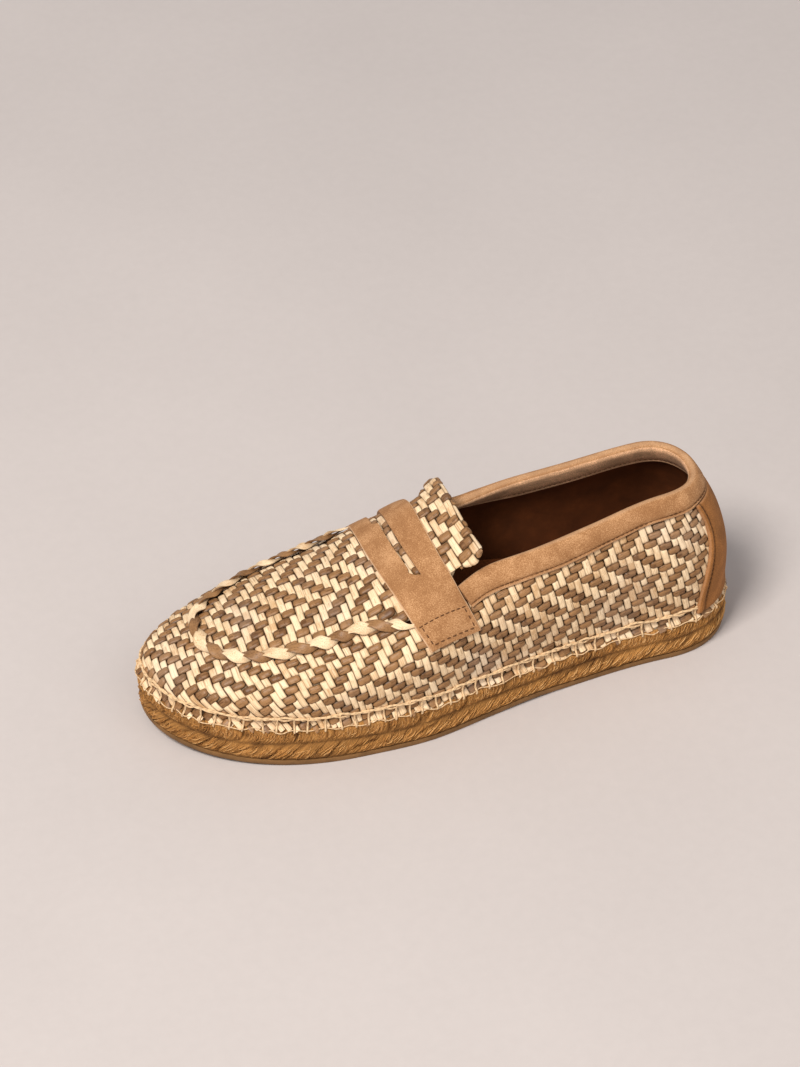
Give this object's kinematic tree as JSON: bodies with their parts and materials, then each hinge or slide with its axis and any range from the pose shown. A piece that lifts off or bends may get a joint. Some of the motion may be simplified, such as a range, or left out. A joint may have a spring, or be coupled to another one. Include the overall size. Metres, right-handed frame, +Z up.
{
  "type": "espadrille loafer",
  "caption": "Left slip-on loafer with a woven upper, moccasin seam with a twisted braid, slotted saddle strap, leather-bound collar and a braided rope sole on thin rubber.",
  "frame": {"origin": "on the floor under the middle of the sole's length, on the line from the heel's back to the toe before its swing", "axes": "+X to the toe, +Y to the wearer's left, which is the outer side of this left shoe, +Z up"},
  "size_m": [0.2902, 0.1063, 0.0924],
  "materials": {
    "outsole": "matt",
    "jute_sole": "fibrous, matt",
    "insole": "matt",
    "upper": "woven strips, slight sheen",
    "apron_tongue": "woven strips, slight sheen",
    "apron_braid": "twisted strips, slight sheen",
    "saddle_strap": "suede nap",
    "collar_binding": "suede nap",
    "heel_patch": "suede nap"
  },
  "bodies": {
    "root": {"outsole": "outsole", "jute_sole": "jute_sole", "insole": "insole", "upper": "upper", "apron_tongue": "apron_tongue", "apron_braid": "apron_braid", "saddle_strap": "saddle_strap", "collar_binding": "collar_binding", "heel_patch": "heel_patch"}
  },
  "joints": []
}
